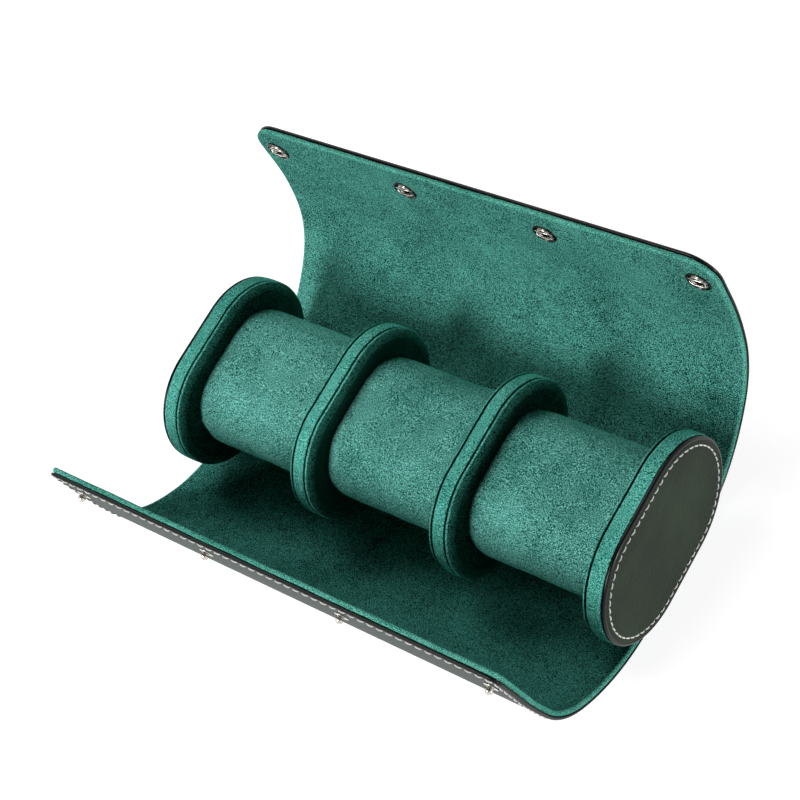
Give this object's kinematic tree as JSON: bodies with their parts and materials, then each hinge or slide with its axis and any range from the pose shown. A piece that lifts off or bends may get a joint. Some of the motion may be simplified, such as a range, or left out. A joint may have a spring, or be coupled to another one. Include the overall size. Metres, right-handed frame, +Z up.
{
  "type": "watch travel case",
  "caption": "Roll-up travel case for watches: a velvet-lined leather wrap around padded oval discs and watch cushions, closed by a snapped flap.",
  "frame": {"origin": "centre of the flat base, on the floor under the wrap", "axes": "+X along the roll, +Y from the front side to the flap, +Z up"},
  "size_m": [0.2174, 0.1649, 0.0937],
  "materials": {
    "leather": "fine grained, satin",
    "velvet": "short-pile velvet",
    "board": "raw fibreboard",
    "foam": "open-cell foam",
    "snap_metal": "polished nickel"
  },
  "bodies": {
    "base": {"base_leather": "leather", "base_board": "board", "base_lining": "velvet", "disc_1_cover": "velvet", "disc_2_cover": "velvet", "disc_3_cover": "velvet", "disc_4_cover": "velvet", "disc_1_core": "board", "disc_2_core": "board", "disc_3_core": "board", "disc_4_core": "board", "end_cap_left": "leather", "end_cap_right": "leather", "cushion_1_cover": "velvet", "cushion_2_cover": "velvet", "cushion_3_cover": "velvet", "cushion_1_foam": "foam", "cushion_2_foam": "foam", "cushion_3_foam": "foam"},
    "front_1": {"front_1_leather": "leather", "front_1_board": "board", "front_1_lining": "velvet"},
    "front_2": {"front_2_leather": "leather", "front_2_board": "board", "front_2_lining": "velvet"},
    "front_3": {"front_3_leather": "leather", "front_3_board": "board", "front_3_lining": "velvet"},
    "front_4": {"front_4_leather": "leather", "front_4_board": "board", "front_4_lining": "velvet"},
    "front_5": {"front_5_leather": "leather", "front_5_board": "board", "front_5_lining": "velvet", "snap_studs": "snap_metal"},
    "flap_1": {"flap_1_leather": "leather", "flap_1_board": "board", "flap_1_lining": "velvet"},
    "flap_2": {"flap_2_leather": "leather", "flap_2_board": "board", "flap_2_lining": "velvet"},
    "flap_3": {"flap_3_leather": "leather", "flap_3_board": "board", "flap_3_lining": "velvet"},
    "flap_4": {"flap_4_leather": "leather", "flap_4_board": "board", "flap_4_lining": "velvet"},
    "flap_5": {"flap_5_leather": "leather", "flap_5_board": "board", "flap_5_lining": "velvet", "snap_sockets": "snap_metal", "snap_springs": "snap_metal", "snap_caps": "snap_metal"}
  },
  "joints": [
    {"name": "front_fold_1", "type": "hinge", "parent": "base", "child": "front_1", "pos_m": [0, -0.02, 0.0033], "axis": [-1, 0, 0], "range_deg": [-3, 19]},
    {"name": "front_fold_2", "type": "hinge", "parent": "front_1", "child": "front_2", "pos_m": [0, -0.04212, 0.0073], "axis": [-1, 0, 0], "range_deg": [-5.21, 32.91]},
    {"name": "front_fold_3", "type": "hinge", "parent": "front_2", "child": "front_3", "pos_m": [0, -0.0615, 0.01871], "axis": [-1, 0, 0], "range_deg": [-0.47, 2.91]},
    {"name": "front_fold_4", "type": "hinge", "parent": "front_3", "child": "front_4", "pos_m": [0, -0.07249, 0.03795], "axis": [-1, 0, 0], "range_deg": [-3.85, 24.31]},
    {"name": "front_fold_5", "type": "hinge", "parent": "front_4", "child": "front_5", "pos_m": [0, -0.07534, 0.06036], "axis": [-1, 0, 0], "range_deg": [-2.44, 15.41]},
    {"name": "flap_fold_1", "type": "hinge", "parent": "base", "child": "flap_1", "pos_m": [0, 0.02, 0.0033], "axis": [1, 0, 0], "range_deg": [-3, 18.58]},
    {"name": "flap_fold_2", "type": "hinge", "parent": "flap_1", "child": "flap_2", "pos_m": [0, 0.04373, 0.00889], "axis": [1, 0, 0], "range_deg": [-4.8, 29.71]},
    {"name": "flap_fold_3", "type": "hinge", "parent": "flap_2", "child": "flap_3", "pos_m": [0, 0.06354, 0.02328], "axis": [1, 0, 0], "range_deg": [-1.92, 11.82]},
    {"name": "flap_fold_4", "type": "hinge", "parent": "flap_3", "child": "flap_4", "pos_m": [0, 0.07503, 0.04466], "axis": [1, 0, 0], "range_deg": [-2.64, 16.31]},
    {"name": "flap_fold_5", "type": "hinge", "parent": "flap_4", "child": "flap_5", "pos_m": [0, 0.0776, 0.06908], "axis": [1, 0, 0], "range_deg": [-2.21, 13.62]}
  ],
  "couplings": [
    {"joint": "front_fold_2", "follows": "front_fold_1", "ratio": 1.7316},
    {"joint": "front_fold_3", "follows": "front_fold_1", "ratio": 0.15263},
    {"joint": "front_fold_4", "follows": "front_fold_1", "ratio": 1.2789},
    {"joint": "front_fold_5", "follows": "front_fold_1", "ratio": 0.81053},
    {"joint": "flap_fold_2", "follows": "flap_fold_1", "ratio": 1.5985},
    {"joint": "flap_fold_3", "follows": "flap_fold_1", "ratio": 0.63563},
    {"joint": "flap_fold_4", "follows": "flap_fold_1", "ratio": 0.87729},
    {"joint": "flap_fold_5", "follows": "flap_fold_1", "ratio": 0.73251}
  ]
}
